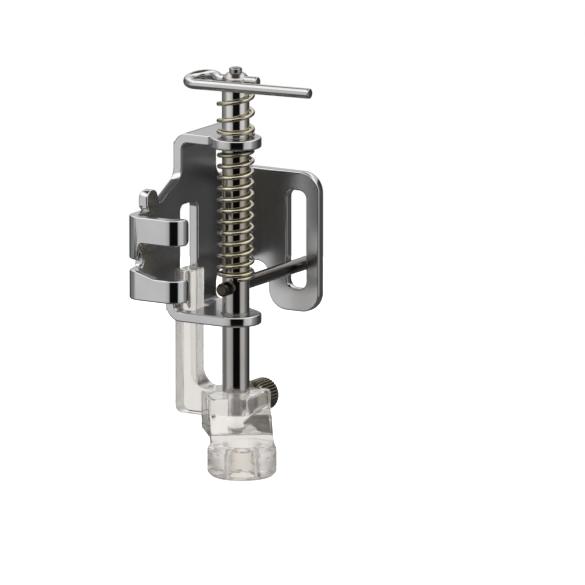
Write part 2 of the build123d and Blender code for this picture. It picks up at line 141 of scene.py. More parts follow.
def rod_foot() -> Array:
    """Gives the place where the rod's axis meets the sole's level, in millimetres."""
    return middle("plunger_rod") * (1, 1, 0)


def arc(centre: tuple[float, float], radius: float, start: float, end: float, steps: int) -> Array:
    """Works out an arc: centre plus radius times (cosine, sine) of an angle that runs evenly.

    Args:
        centre: the arc's centre.
        radius: its radius.
        start: the first angle, in degrees.
        end: the last angle, in degrees.
        steps: how many points.

    Returns:
        The points, one row each.
    """
    angle = np.radians(np.linspace(start, end, steps))
    return np.array(centre) + radius * np.stack([np.cos(angle), np.sin(angle)], axis=1)


def revolved(profile: Array, segments: int) -> Array:
    """Turns a profile about Z: x and y are the radius times the cosine and sine of the angle round it.

    Args:
        profile: rows of radius and height.
        segments: columns round the axis.

    Returns:
        A grid of points, one row for each profile point.
    """
    angle = np.linspace(0, TURN, segments, endpoint=False)
    radius = profile[:, :1]
    height = np.broadcast_to(profile[:, 1:], (len(profile), segments))
    return np.stack([radius * np.cos(angle), radius * np.sin(angle), height], axis=2)


def tube(path: Array, side: Array, up: Array, radius: Array, segments: int) -> Array:
    """Carries a circle along a path.

    A point is the path's, plus the radius times the angle's cosine along side and its sine along up.

    Args:
        path: the middle line, one row for each station.
        side: a unit vector across the path at each station.
        up: a unit vector across both at each station.
        radius: the circle's radius at each station.
        segments: columns round the path.

    Returns:
        A grid of points, one row for each station.
    """
    angle = np.linspace(0, TURN, segments, endpoint=False)[None, :, None]
    ring = np.cos(angle) * side[:, None, :] + np.sin(angle) * up[:, None, :]
    return path[:, None, :] + radius[:, None, None] * ring


def wire_stations(length: float, radius: float, edge: float, step: float) -> tuple[Array, Array]:
    """Spreads stations along a cut wire with rounded rims.

    The radius is a quarter circle of the rim's size at both ends and full between, and each end closes
    on the axis.

    Args:
        length: the wire's length.
        radius: the wire's radius.
        edge: the rim's rounding.
        step: the distance between stations.

    Returns:
        The distance along the wire and the radius at each station.
    """
    rim = arc((edge, radius - edge), edge, 180, 90, RIM_STEPS)
    body = np.linspace(edge, length - edge, max(2, round(length / step)))[1:-1]
    along = np.concatenate([[0], rim[:, 0], body, length - rim[::-1, 0], [length]])
    radii = np.concatenate([[0], rim[:, 1], np.full(len(body), radius), rim[::-1, 1], [0]])
    return along, radii


def solid_piece(name: str, grid: Array, grooves: Array | None = None) -> Piece:
    """Makes a closed mesh from a grid of points whose columns go round.

    The faces join neighbouring rows and columns, doubled points at the poles are merged, and the faces
    are turned outwards.

    Args:
        name: the piece's name.
        grid: points in millimetres, rows by columns by three.
        grooves: how deep in a groove each point lies, from 0 to 1, kept as an attribute.

    Returns:
        The new object.
    """
    rows, columns, _ = grid.shape
    index = np.arange(rows * columns).reshape(rows, columns)
    beside = np.roll(index, -1, axis=1)
    quads = np.stack([index[:-1], beside[:-1], beside[1:], index[1:]], axis=2).reshape(-1, 4)
    mesh = bpy.data.meshes.new(name)
    mesh.from_pydata(grid.reshape(-1, 3) * MM, [], quads)
    if grooves is not None:
        mesh.attributes.new(GROOVES, "FLOAT", "POINT").data.foreach_set("value", grooves.ravel())
    shape = bmesh.new()
    shape.from_mesh(mesh)
    bmesh.ops.remove_doubles(shape, verts=shape.verts, dist=MERGE * MM)
    bmesh.ops.recalc_face_normals(shape, faces=shape.faces)
    shape.to_mesh(mesh)
    shape.free()
    return shown(name, mesh)


def node_copy(name: str, node: str, shortest: float) -> Piece:
    """Makes a piece from a CAD node's mesh: triangles joined, flat faces whole and short edges closed.

    Args:
        name: the piece's name.
        node: the CAD node.
        shortest: edges shorter than this are closed up, in millimetres.

    Returns:
        The new object.
    """
    shape = bmesh.new()
    shape.from_mesh(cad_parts[node].data)
    bmesh.ops.remove_doubles(shape, verts=shape.verts, dist=MERGE * MM)
    bmesh.ops.dissolve_limit(shape, angle_limit=FLAT_ANGLE, verts=shape.verts, edges=shape.edges)
    bmesh.ops.remove_doubles(shape, verts=shape.verts, dist=shortest * MM)
    mesh = bpy.data.meshes.new(name)
    shape.to_mesh(mesh)
    shape.free()
    if "custom_normal" in mesh.attributes:
        mesh.attributes.remove(mesh.attributes["custom_normal"])
    return shown(name, mesh)


def shown(name: str, mesh: bpy.types.Mesh) -> Piece:
    """Puts a mesh into the scene with smooth faces, and edges sharp where they turn far.

    Args:
        name: the object's name.
        mesh: its mesh.

    Returns:
        The new object.
    """
    mesh.shade_smooth()
    mesh.set_sharp_from_angle(angle=SMOOTH_ANGLE)
    piece = bpy.data.objects.new(name, mesh)
    bpy.context.scene.collection.objects.link(piece)
    return piece


def round_edges(piece: Piece, width: float, segments: int) -> None:
    """Rounds a piece's edges and keeps its flat faces flat in the light.

    Args:
        piece: the object.
        width: how far the rounding reaches from an edge, in millimetres.
        segments: steps across the rounding.
    """
    piece.data.shade_smooth()
    piece.data.set_sharp_from_angle(angle=math.pi)
    bevel = piece.modifiers.new("rounded_edges", "BEVEL")
    bevel.width = width * MM
    bevel.segments = segments
    bevel.limit_method = "ANGLE"
    bevel.angle_limit = EDGE_ANGLE
    bevel.use_clamp_overlap = False
    weighted = piece.modifiers.new("flat_faces", "WEIGHTED_NORMAL")
    weighted.mode = "FACE_AREA"
    weighted.weight = 100
    weighted.keep_sharp = True


def set_modifiers(piece: Piece) -> None:
    """Puts the result of a piece's modifiers into its mesh, and takes them off.

    Args:
        piece: the object.
    """
    graph = bpy.context.evaluated_depsgraph_get()
    result = piece.evaluated_get(graph)
    piece.data = bpy.data.meshes.new_from_object(result, preserve_all_data_layers=True, depsgraph=graph)
    piece.modifiers.clear()


def melt_edges(piece: Piece, cell: float, rounds: int) -> None:
    """Rounds a moulded piece all over: on an even mesh, each point moves to its neighbours' middle.

    Args:
        piece: the object.
        cell: the even mesh's step, in millimetres.
        rounds: how often the points move, half of the way each time.
    """
    even = piece.modifiers.new("even_mesh", "REMESH")
    even.mode = "VOXEL"
    even.voxel_size = cell * MM
    even.use_smooth_shade = True
    relaxed = piece.modifiers.new("soft_edges", "SMOOTH")
    relaxed.factor = 0.5
    relaxed.iterations = rounds


class NodeSheet:
    """A node tree that is filled from left to right."""

    def __init__(self, tree: bpy.types.NodeTree) -> None:
        """Keeps the tree."""
        self.tree = tree

    def add(self, kind: str, **settings: object) -> bpy.types.Node:
        """Adds a node.

        Args:
            kind: Blender's name for the node's class.
            settings: properties of the node, or its inputs' values by name with underscores for spaces.

        Returns:
            The new node.
        """
        node = self.tree.nodes.new(kind)
        for name, value in settings.items():
            if hasattr(node, name):
                setattr(node, name, value)
            else:
                node.inputs[name.replace("_", " ")].default_value = value
        node.location = (NODE_STEP * len(self.tree.nodes), 0)
        return node

    def join(self, output: Socket, socket: Socket) -> None:
        """Links an output to an input."""
        self.tree.links.new(output, socket)

    def value(self, operation: str, *terms: Socket | float) -> Socket:
        """Adds a sum on numbers.

        Args:
            operation: the Math node's operation.
            terms: sockets or plain numbers.

        Returns:
            The result's socket.
        """
        node = self.add("ShaderNodeMath", operation=operation)
        for socket, term in zip(node.inputs, terms):
            if isinstance(term, Socket):
                self.join(term, socket)
            else:
                socket.default_value = term
        return node.outputs[0]

    def mapped(self, source: Socket, **settings: object) -> Socket:
        """Maps a value from one range onto another, each from 0 to 1 unless the settings say otherwise.

        Args:
            source: the value.
            settings: the Map Range node's properties and inputs.

        Returns:
            The result's socket.
        """
        node = self.add("ShaderNodeMapRange", **settings)
        self.join(source, node.inputs["Value"])
        return node.outputs["Result"]

    def covered(self, below: Socket | Colour, above: Socket | Colour, mask: Socket) -> Socket:
        """Lays a colour over another where a mask is 1.

        Args:
            below: the colour below, a socket or a linear colour.
            above: the colour on top, a socket or a linear colour.
            mask: where it shows.

        Returns:
            The mixed colour's socket.
        """
        node = self.add("ShaderNodeMix", data_type="RGBA")
        self.join(mask, node.inputs["Factor"])
        for socket, colour in ((node.inputs[MIX_BELOW], below), (node.inputs[MIX_ABOVE], above)):
            if isinstance(colour, Socket):
                self.join(colour, socket)
            else:
                socket.default_value = (*colour, 1)
        return node.outputs[MIX_RESULT]

    def bump(self, shader: bpy.types.Node, height: Socket, strength: float, depth: float) -> None:
        """Gives a shader a bump.

        Args:
            shader: the material's shader.
            height: the bump's height, where 1 is the depth.
            strength: how much of it shows.
            depth: the bump's depth, in millimetres.
        """
        node = self.add("ShaderNodeBump", Strength=strength, Distance=depth * MM)
        self.join(height, node.inputs["Height"])
        self.join(node.outputs["Normal"], shader.inputs["Normal"])


def new_material(name: str) -> tuple[bpy.types.Material, NodeSheet, bpy.types.Node]:
    """Starts a material.

    Args:
        name: the material's name.

    Returns:
        The material, its nodes and its shader.
    """
    material = bpy.data.materials.new(name)
    material.use_nodes = True
    return material, NodeSheet(material.node_tree), material.node_tree.nodes["Principled BSDF"]


class PatternGroup:
    """A shader node group that turns a place on a piece into a mask."""

    noise_middle = 0.5

    def __init__(self, name: str, detail: float, roughness: float) -> None:
        """Builds the group: noise at a scale, spread about its middle by the contrast, within 0 to 1.

        Args:
            name: the group's name.
            detail: octaves of the noise.
            roughness: how strong its finer octaves are.
        """
        self.tree = bpy.data.node_groups.new(name, "ShaderNodeTree")
        ports = self.tree.interface
        ports.new_socket("Place", in_out="INPUT", socket_type="NodeSocketVector")
        ports.new_socket("Scale", in_out="INPUT", socket_type="NodeSocketFloat")
        ports.new_socket("Contrast", in_out="INPUT", socket_type="NodeSocketFloat")
        ports.new_socket("Mask", in_out="OUTPUT", socket_type="NodeSocketFloat")
        sheet = NodeSheet(self.tree)
        entry = sheet.add("NodeGroupInput")
        noise = sheet.add("ShaderNodeTexNoise", Detail=detail, Roughness=roughness)
        sheet.join(entry.outputs["Place"], noise.inputs["Vector"])
        sheet.join(entry.outputs["Scale"], noise.inputs["Scale"])
        centred = sheet.value("SUBTRACT", noise.outputs[0], self.noise_middle)
        stretched = sheet.value("MULTIPLY_ADD", centred, entry.outputs["Contrast"], self.noise_middle)
        limited = sheet.add("ShaderNodeClamp")
        sheet.join(stretched, limited.inputs["Value"])
        leave = sheet.add("NodeGroupOutput")
        sheet.join(limited.outputs[0], leave.inputs["Mask"])

    def place(self, sheet: NodeSheet, where: Socket, scale: float, contrast: float) -> Socket:
        """Puts the group into a material.

        Args:
            sheet: the material's nodes.
            where: the pattern's coordinates.
            scale: repeats in a metre.
            contrast: how far the noise is spread.

        Returns:
            The mask's socket.
        """
        node = sheet.add("ShaderNodeGroup", node_tree=self.tree)
        sheet.join(where, node.inputs["Place"])
        node.inputs["Scale"].default_value = scale
        node.inputs["Contrast"].default_value = contrast
        return node.outputs["Mask"]


@dataclass(frozen=True)
class Patterns:
    """The patterns that the finishes share."""

    grain: PatternGroup
    handling: PatternGroup

    @classmethod
    def build(cls) -> "Patterns":
        """Builds both groups once."""
        grain = PatternGroup("fine_grain", detail=5, roughness=0.6)
        return cls(grain, PatternGroup("handling_marks", detail=3, roughness=0.5))


@dataclass(frozen=True)
class Stretch:
    """One stretch of a piece along an axis, whose ends fade."""

    axis: Axis
    low: float
    high: float
    fade: float = 0.5

    def mask(self, sheet: NodeSheet, place: Socket, marks: Socket) -> Socket:
        """Marks the stretch: full where a point, shifted by the marks, is near enough to its middle.

        Args:
            sheet: the material's nodes.
            place: the object's coordinates.
            marks: a mask that makes the ends uneven.

        Returns:
            The mask's socket.
        """
        parts = sheet.add("ShaderNodeSeparateXYZ")
        sheet.join(place, parts.inputs[0])
        shifted = sheet.value("MULTIPLY_ADD", marks, self.fade * MM, parts.outputs[self.axis.value])
        off = sheet.value("ABSOLUTE", sheet.value("SUBTRACT", shifted, (self.low + self.high) / 2 * MM))
        half = (self.high - self.low) / 2
        return sheet.mapped(off, From_Min=half * MM, From_Max=(half - self.fade) * MM)


@dataclass(frozen=True, kw_only=True)
class Band(Stretch):
    """Another colour on one stretch of a piece, such as painted shade inside a spring, painted light above
    it or a duller tip.
    """

    colour: Colour


@dataclass(frozen=True)
class PaintedGrooveShade:
    """Painted shade in a piece's grooves, darkest at their bottoms and a little lighter where the handling
    marks are low.
    """

    colour: Colour
    least: float = 0.85

    def mask(self, sheet: NodeSheet, place: Socket, marks: Socket) -> Socket:
        """Marks the grooves: the depth that the mesh carries, a little less where the marks are low.

        Args:
            sheet: the material's nodes.
            place: the object's coordinates, which a groove doesn't need.
            marks: the mask of handling marks.

        Returns:
            The mask's socket.
        """
        depth = sheet.add("ShaderNodeAttribute", attribute_name=GROOVES).outputs["Fac"]
        return sheet.value("MULTIPLY", depth, sheet.mapped(marks, To_Min=self.least))


@dataclass(frozen=True)
class MetalFinish:
    """A bare or plated metal: clean and dulled colour, roughness, fine lines and the layers on it, some of
    them painted shade or light.
    """

    name: str
    clean: Colour
    dulled: Colour
    rough_low: float
    rough_high: float
    grain: Grain
    grain_scale: float
    grain_depth: float = 0.002
    grain_contrast: float = 1.6
    grain_share: float = 0.5
    bump: float = 0.35
    mark_scale: float = 180.0
    mark_contrast: float = 2.2
    layers: tuple[Band | PaintedGrooveShade, ...] = ()
    flat_rough: float = 0.0

    def roughness(self, sheet: NodeSheet, wear: Socket) -> Socket:
        """Spreads the wear between the two roughnesses, and adds to it on faces that are marked as flat.

        Args:
            sheet: the material's nodes.
            wear: the mask of wear.

        Returns:
            The roughness's socket.
        """
        rough = sheet.mapped(wear, To_Min=self.rough_low, To_Max=self.rough_high)
        if not self.flat_rough:
            return rough
        flat = sheet.add("ShaderNodeAttribute", attribute_name=FLATS).outputs["Fac"]
        return sheet.value("MULTIPLY_ADD", flat, self.flat_rough, rough)

    def colour(self, sheet: NodeSheet, place: Socket, marks: Socket) -> Socket:
        """Mixes the clean and dulled colours by the marks, and lays each layer over them.

        Args:
            sheet: the material's nodes.
            place: the object's coordinates.
            marks: the mask of handling marks.

        Returns:
            The colour's socket.
        """
        colour = sheet.covered(self.clean, self.dulled, marks)
        for layer in self.layers:
            colour = sheet.covered(colour, layer.colour, layer.mask(sheet, place, marks))
        return colour

    def make(self, patterns: Patterns) -> bpy.types.Material:
        """Builds the material: marks vary colour and roughness, and the grain is a fine bump.

        Args:
            patterns: the shared pattern groups.

        Returns:
            The material.
        """
        material, sheet, shader = new_material(self.name)
        shader.inputs["Metallic"].default_value = 1.0
        place = sheet.add("ShaderNodeTexCoord").outputs["Object"]
        stretch = sheet.add("ShaderNodeMapping", Scale=self.grain.value)
        sheet.join(place, stretch.inputs["Vector"])
        along = stretch.outputs["Vector"]
        marks = patterns.handling.place(sheet, place, self.mark_scale, self.mark_contrast)
        lines = patterns.grain.place(sheet, along, self.grain_scale, self.grain_contrast)
        sheet.join(self.colour(sheet, place, marks), shader.inputs["Base Color"])
        handled = sheet.value("MULTIPLY", marks, 1 - self.grain_share)
        wear = sheet.value("MULTIPLY_ADD", lines, self.grain_share, handled)
        sheet.join(self.roughness(sheet, wear), shader.inputs["Roughness"])
        sheet.bump(shader, lines, self.bump, self.grain_depth)
        return material


@dataclass(frozen=True)
class ClearPlastic:
    """Clear moulded plastic with a faint warm tint and slow waves from its mould."""

    name: str = "clear_plastic"
    clean: Colour = (0.985, 0.96, 0.925)
    tinted: Colour = (0.96, 0.915, 0.865)
    rough_low: float = 0.02
    rough_high: float = 0.07
    clarity: float = 0.92
    refraction: float = 1.34
    wave_scale: float = 620.0
    wave_contrast: float = 1.6
    wave_depth: float = 0.07
    bump: float = 0.5
    ring_top: float = 4.2
    ring_waves: float = 2.6
    grain_scale: float = 2480.0
    grain_contrast: float = 2.0

    def make(self, patterns: Patterns) -> bpy.types.Material:
        """Builds the material: waves vary tint and surface, most on the ring, and grain varies gloss.

        Args:
            patterns: the shared pattern groups.

        Returns:
            The material.
        """
        material, sheet, shader = new_material(self.name)
        shader.inputs["IOR"].default_value = self.refraction
        shader.inputs["Transmission Weight"].default_value = self.clarity
        place = sheet.add("ShaderNodeTexCoord").outputs["Object"]
        waves = patterns.handling.place(sheet, place, self.wave_scale, self.wave_contrast)
        grain = patterns.grain.place(sheet, place, self.grain_scale, self.grain_contrast)
        sheet.join(sheet.covered(self.clean, self.tinted, waves), shader.inputs["Base Color"])
        rough = sheet.mapped(grain, To_Min=self.rough_low, To_Max=self.rough_high)
        sheet.join(rough, shader.inputs["Roughness"])
        ring = Stretch(Axis.Z, -self.ring_top, self.ring_top).mask(sheet, place, waves)
        height = sheet.value("MULTIPLY", waves, sheet.mapped(ring, To_Min=1.0, To_Max=self.ring_waves))
        sheet.bump(shader, height, self.bump, self.wave_depth)
        return material


# Painted shade: the rod is darker and browner inside the long spring, where the coils shade it.
SHADE_INSIDE_SPRING = Band(Axis.Z, low=26.6, high=46.2, colour=(0.38, 0.345, 0.295))
# Painted light: the rod is lighter above the long spring, out of the coils' shade.
LIGHT_ABOVE_SPRING = Band(Axis.Z, low=46.2, high=54.6, colour=(0.66, 0.645, 0.62))
DULL_TIP = Band(Axis.Z, low=4.0, high=9.6, fade=0.1, colour=(0.34, 0.34, 0.37))
# Painted shade: the pin's end between Y 6.0 and 8.8 is drawn near black.
PIN_END_SHADE = Band(Axis.Y, low=6.0, high=8.8, colour=(0.06, 0.052, 0.042))

CHROME = MetalFinish(
    name="chrome_sheet",
    clean=(0.58, 0.58, 0.59),
    dulled=(0.54, 0.535, 0.535),
    rough_low=0.06,
    rough_high=0.12,
    grain=Grain.ALONG_Z,
    grain_scale=7000.0,
    grain_depth=0.001,
    flat_rough=0.14,
)
ROD_STEEL = MetalFinish(
    name="rod_steel",
    clean=(0.45, 0.435, 0.425),
    dulled=(0.39, 0.37, 0.355),
    rough_low=0.06,
    rough_high=0.13,
    grain=Grain.AROUND_Z,
    grain_scale=9000.0,
    layers=(SHADE_INSIDE_SPRING, LIGHT_ABOVE_SPRING, DULL_TIP),
)
LEVER_STEEL = MetalFinish(
    name="lever_steel",
    clean=(0.57, 0.565, 0.56),
    dulled=(0.50, 0.49, 0.485),
    rough_low=0.10,
    rough_high=0.18,
    grain=Grain.ALONG_X,
    grain_scale=6000.0,
)
SPRING_STEEL = MetalFinish(
    name="spring_steel",
    clean=(0.62, 0.575, 0.45),
    dulled=(0.40, 0.36, 0.26),
    rough_low=0.05,
    rough_high=0.11,
    grain=Grain.EVEN,
    grain_scale=6000.0,
)
PIN_STEEL = MetalFinish(
    name="pin_steel",
    clean=(0.25, 0.235, 0.225),
    dulled=(0.18, 0.165, 0.155),
    rough_low=0.12,
    rough_high=0.22,
    grain=Grain.ALONG_Y,
    grain_scale=7000.0,
    layers=(PIN_END_SHADE,),
)
SCREW_STEEL = MetalFinish(
    name="screw_steel",
    clean=(0.40, 0.39, 0.38),
    dulled=(0.30, 0.29, 0.275),
    rough_low=0.16,
    rough_high=0.28,
    grain=Grain.EVEN,
    grain_scale=7000.0,
)


@dataclass
class Maker:
    """A maker of pieces, with the patterns that their finishes share."""

    patterns: Patterns

    def hand_over(self, piece: Piece, node: str, slot: str, finish: MetalFinish | ClearPlastic) -> None:
        """Gives a piece its finish and hides the CAD node that it replaces.

        Args:
            piece: the object.
            node: the CAD node that it replaces.
            slot: not used.
            finish: its metal or plastic.
        """
        piece.data.materials.clear()
        piece.data.materials.append(finish.make(self.patterns))
        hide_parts(node)


@dataclass
class Bracket(Maker):
    """The folded, chromed sheet with its fingers, plates and ears."""

    edge: float = 0.26
    edge_steps: int = 4
    shortest: float = 0.08
    squareness: float = 0.995

    def mark_flats(self, mesh: bpy.types.Mesh) -> None:
        """Marks the faces that look along an axis: the normal's largest part, without sign, is near 1.

        Args:
            mesh: the sheet, with its edges rounded.
        """
        normals = np.empty(3 * len(mesh.polygons), np.float32)
        mesh.polygons.foreach_get("normal", normals)
        flat = np.abs(normals.reshape(-1, 3)).max(axis=1) > self.squareness
        mesh.attributes.new(FLATS, "FLOAT", "FACE").data.foreach_set("value", flat.astype(np.float32))

    def build(self) -> Piece:
        """Rounds the sheet's edges and plates it, polished on bends and edges and satin on flat faces.

        Returns:
            The sheet.
        """
        piece = node_copy("chromed_bracket", "bracket", self.shortest)
        round_edges(piece, self.edge, self.edge_steps)
        set_modifiers(piece)
        self.mark_flats(piece.data)
        self.hand_over(piece, "bracket", "chrome_sheet", CHROME)
        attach(piece, Body.BRACKET.value)
        return piece


@dataclass
class Plunger(Maker):
    """The turned rod and the guide pin across it."""

    shoulder: float = 9.6
    shoulder_edge: float = 0.15
    tip_radius: float = 1.05
    tip_edge: float = 0.3
    slope: float = 0.8
    slope_angle: float = 45.0
    slope_edge: float = 0.8
    screw_radius: float = 0.95
    screw_well: float = 0.6
    arc_steps: int = 8
    barrel_rows: int = 24
    segments: int = 96
    pin_edge: float = 0.3
    pin_step: float = 0.6
    pin_segments: int = 48

    def rod_profile(self) -> Array:
        """Draws half the rod's section, from the middle of its tip up to the well of its set screw.

        Returns:
            Rows of radius and height: lines with arcs at the tip, the shoulder and the sloped rim.
        """
        low, high = node_box("plunger_rod")
        bottom, top = low[2], high[2]
        radius = half_width("plunger_rod")
        edge, rim, curve = self.tip_edge, self.shoulder_edge, self.slope_edge
        tip = arc((self.tip_radius - edge, bottom + edge), edge, -90, 0, self.arc_steps)
        shoulder = arc((radius - rim, self.shoulder + rim), rim, -90, 0, RIM_STEPS)
        reach = curve * math.tan(math.radians(self.slope_angle / 2))
        outer_centre = (radius - curve, top - self.slope - reach)
        inner_centre = (radius - self.slope - reach, top - curve)
        outer = arc(outer_centre, curve, 0, self.slope_angle, self.arc_steps)
        inner = arc(inner_centre, curve, self.slope_angle, 90, self.arc_steps)
        straight = np.linspace(self.shoulder + 2 * rim, top - 2 * self.slope, self.barrel_rows)
        barrel = np.stack([np.full(len(straight), radius), straight], axis=1)
        well = np.array([
            (self.screw_radius, top),
            (self.screw_radius, top - self.screw_well),
            (0, top - self.screw_well),
        ])
        foot = np.array([(0, bottom)])
        corner = np.array([(self.tip_radius, self.shoulder)])
        return np.concatenate([foot, tip, corner, shoulder, barrel, outer, inner, well])

    def build_rod(self) -> Piece:
        """Turns the rod's profile about its axis.

        Returns:
            The rod.
        """
        piece = solid_piece("turned_rod", revolved(self.rod_profile(), self.segments) + rod_foot())
        self.hand_over(piece, "plunger_rod", "rod_steel", ROD_STEEL)
        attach(piece, Body.PLUNGER.value)
        return piece

    def build_pin(self) -> Piece:
        """Turns the pin about the line along Y through its middle, with rounded rims.

        Returns:
            The pin.
        """
        low, high = node_box("guide_pin")
        radius = half_width("guide_pin")
        along, radii = wire_stations(high[1] - low[1], radius, self.pin_edge, self.pin_step)
        turned = revolved(np.stack([radii, along], axis=1), self.pin_segments)
        grid = turned[:, :, [0, 2, 1]] + middle("guide_pin") * (1, 0, 1) + low * (0, 1, 0)
        piece = solid_piece("cross_pin", grid)
        self.hand_over(piece, "guide_pin", "rod_steel", PIN_STEEL)
        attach(piece, Body.PLUNGER.value)
        return piece


@dataclass(frozen=True)
class LeverBends:
    """The centres of the lever's two bends in the wire's own plane, and the lean of the line between."""

    loop_x: float
    loop_y: float
    back_x: float
    lean: float


@dataclass
class Lever(Maker):
    """The bent wire through the rod's top, and the slotted screw that locks it."""

    wire: float = 1.5
    below_rod_top: float = 1.2
    spread: float = 2.8
    long_end: float = 14.2
    short_end: float = 3.8
    loop: float = 2.1
    turn_back: float = 1.5
    straight_beside_rod: float = 0.3
    tilt: float = 10.0
    roll: float = 1.4
    rim: float = 0.18
    step: float = 0.12
    segments: int = 40
    screw_edge: float = 0.07
    screw_edge_steps: int = 3
    screw_shortest: float = 0.02

    def bends(self) -> LeverBends:
        """Works out the bends, whose circles touch: their centres are the sum of both radii apart.

        Returns:
            The bends, with the rod's axis at 0 and the short leg along X.
        """
        back_x = -half_width("plunger_rod") - self.straight_beside_rod
        loop_y = self.loop - self.spread
        rise = self.turn_back - loop_y
        reach = math.sqrt((self.loop + self.turn_back) ** 2 - rise**2)
        return LeverBends(back_x - reach, loop_y, back_x, math.atan2(rise, reach))

    def ends(self) -> Array:
        """Adds up the wire: each leg by its length, and each arc as its radius times its turn.

        Returns:
            The distance from the long leg's end to the end of each stretch.
        """
        bends = self.bends()
        long_leg = self.long_end - bends.loop_x
        round_loop = self.loop * (0.75 * TURN - bends.lean)
        round_back = self.turn_back * (0.25 * TURN - bends.lean)
        short_leg = self.short_end - bends.back_x
        return np.cumsum([long_leg, round_loop, round_back, short_leg])

    def line(self, along: Array) -> tuple[Array, Array]:
        """Follows the wire in its own flat plane: long leg, loop, return curve and short leg.

        Each stretch is a line or an arc, and a distance along the wire picks its stretch and its place
        on it.

        Args:
            along: distances from the long leg's end.

        Returns:
            The points and the unit direction at each, as rows of two.
        """
        bends = self.bends()
        leg_end, loop_end, back_end, _ = self.ends()
        loop_turn = -0.25 * TURN - (along - leg_end) / self.loop
        back_turn = 0.5 * TURN + bends.lean + (along - loop_end) / self.turn_back
        off_loop = np.stack([np.cos(loop_turn), np.sin(loop_turn)], 1)
        off_back = np.stack([np.cos(back_turn), np.sin(back_turn)], 1)
        long_at = np.stack([self.long_end - along, np.full(len(along), -self.spread)], 1)
        loop_at = np.array((bends.loop_x, bends.loop_y)) + self.loop * off_loop
        back_at = np.array((bends.back_x, self.turn_back)) + self.turn_back * off_back
        short_at = np.stack([bends.back_x + along - back_end, np.zeros(len(along))], 1)
        zone = np.digitize(along, [leg_end, loop_end, back_end])[:, None]
        zones = [zone == 0, zone == 1, zone == 2]
        points = np.select(zones, [long_at, loop_at, back_at], short_at)
        headings = [
            np.broadcast_to((-1.0, 0.0), points.shape),
            off_loop[:, ::-1] * (1, -1),
            off_back[:, ::-1] * (-1, 1),
        ]
        return points, np.select(zones, headings, np.broadcast_to((1.0, 0.0), points.shape))

    def build_wire(self) -> Piece:
        """Carries the wire's circle along its line, tilted about the short leg and rolled up to the right.

        Returns:
            The wire.
        """
        along, radii = wire_stations(self.ends()[-1], self.wire / 2, self.rim, self.step)
        points, heading = self.line(along)
        tilt, roll = math.radians(self.tilt), math.radians(-self.roll)
        about_x = np.array([
            (1, 0, 0),
            (0, math.cos(tilt), -math.sin(tilt)),
            (0, math.sin(tilt), math.cos(tilt)),
        ])
        about_y = np.array([
            (math.cos(roll), 0, math.sin(roll)),
            (0, 1, 0),
            (-math.sin(roll), 0, math.cos(roll)),
        ])
        turn = (about_y @ about_x).T
        flat = np.zeros((len(points), 1))
        path = np.hstack([points, flat]) @ turn
        side = np.hstack([-heading[:, 1:], heading[:, :1], flat]) @ turn
        up = np.broadcast_to((0.0, 0.0, 1.0), path.shape) @ turn
        _, high = node_box("plunger_rod")
        hole = rod_foot() + (0, 0, high[2] - self.below_rod_top)
        piece = solid_piece("bent_wire", tube(path, side, up, radii, self.segments) + hole)
        self.hand_over(piece, "lifter_lever", "lever_steel", LEVER_STEEL)
        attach(piece, Body.PLUNGER.value)
        return piece

    def build_screw(self) -> Piece:
        """Rounds the slotted screw's edges.

        Returns:
            The screw.
        """
        piece = node_copy("slotted_screw", "lever_set_screw", self.screw_shortest)
        round_edges(piece, self.screw_edge, self.screw_edge_steps)
        self.hand_over(piece, "lever_set_screw", "rod_steel", SCREW_STEEL)
        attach(piece, Body.PLUNGER.value)
        return piece


@dataclass
class CoilSpring(Maker):
    """A round-wire spring on the rod, with closed turns at its ends."""

    node: str
    name: str
    wire: float
    end_angle: float
    closed_bottom: float
    coils: float
    closed_top: float
    follows_plunger: bool
    room: float = 0.15
    lies_on: float = 0.02
    rim: float = 0.12
    steps_in_turn: int = 48
    segments: int = 20

    def levels(self, turns: Array) -> Array:
        """Gives the wire's height: closed turns climb a wire's thickness each, open ones share the rest.

        Args:
            turns: turns from the bottom end.

        Returns:
            The heights of the wire's middle.
        """
        low, high = node_box(self.node)
        bottom = low[2] + self.wire / 2
        top = high[2] - self.wire / 2
        closed = self.wire + self.lies_on
        knots = np.cumsum([0, self.closed_bottom, self.coils, self.closed_top])
        heights = (bottom, bottom + closed * self.closed_bottom, top - closed * self.closed_top, top)
        return np.interp(turns, knots, heights)

    def build(self) -> Piece:
        """Carries the wire's circle up a helix round the rod.

        Returns:
            The spring.
        """
        radius = half_width("plunger_rod") + self.room + self.wire / 2
        total = self.closed_bottom + self.coils + self.closed_top
        step = TURN * radius / self.steps_in_turn
        along, radii = wire_stations(total * TURN * radius, self.wire / 2, self.rim, step)
        turns = along / (TURN * radius)
        angle = math.radians(self.end_angle) - TURN * (total - turns)
        outward = np.stack([np.cos(angle), np.sin(angle), np.zeros(len(angle))], 1)
        path = radius * outward + rod_foot()
        path[:, 2] = self.levels(turns)
        up = np.broadcast_to((0.0, 0.0, 1.0), path.shape)
        piece = solid_piece(self.name, tube(path, outward, up, radii, self.segments))
        self.hand_over(piece, self.node, "spring_steel", SPRING_STEEL)
        if self.follows_plunger:
            self.follow_plunger(piece)
        else:
            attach(piece, Body.BRACKET.value)
        return piece

    def follow_plunger(self, piece: Piece) -> None:
        """Puts the spring's placement into its mesh, and leaves it on no body.

        Args:
            piece: the spring.
        """
        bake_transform(piece)


@dataclass
class ClearFoot(Maker):
    """The clear moulded foot with its guide post, block and needle ring."""

    shortest: float = 0.002
    cell: float = 0.13
    rounds: int = 8

    def build(self) -> Piece:
        """Softens the moulding's edges and clears it.

        Returns:
            The moulding.
        """
        piece = node_copy("moulded_foot", "clear_foot", self.shortest)
        melt_edges(piece, self.cell, self.rounds)
        self.hand_over(piece, "clear_foot", "clear_plastic", ClearPlastic())
        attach(piece, Body.PLUNGER.value)
        return piece


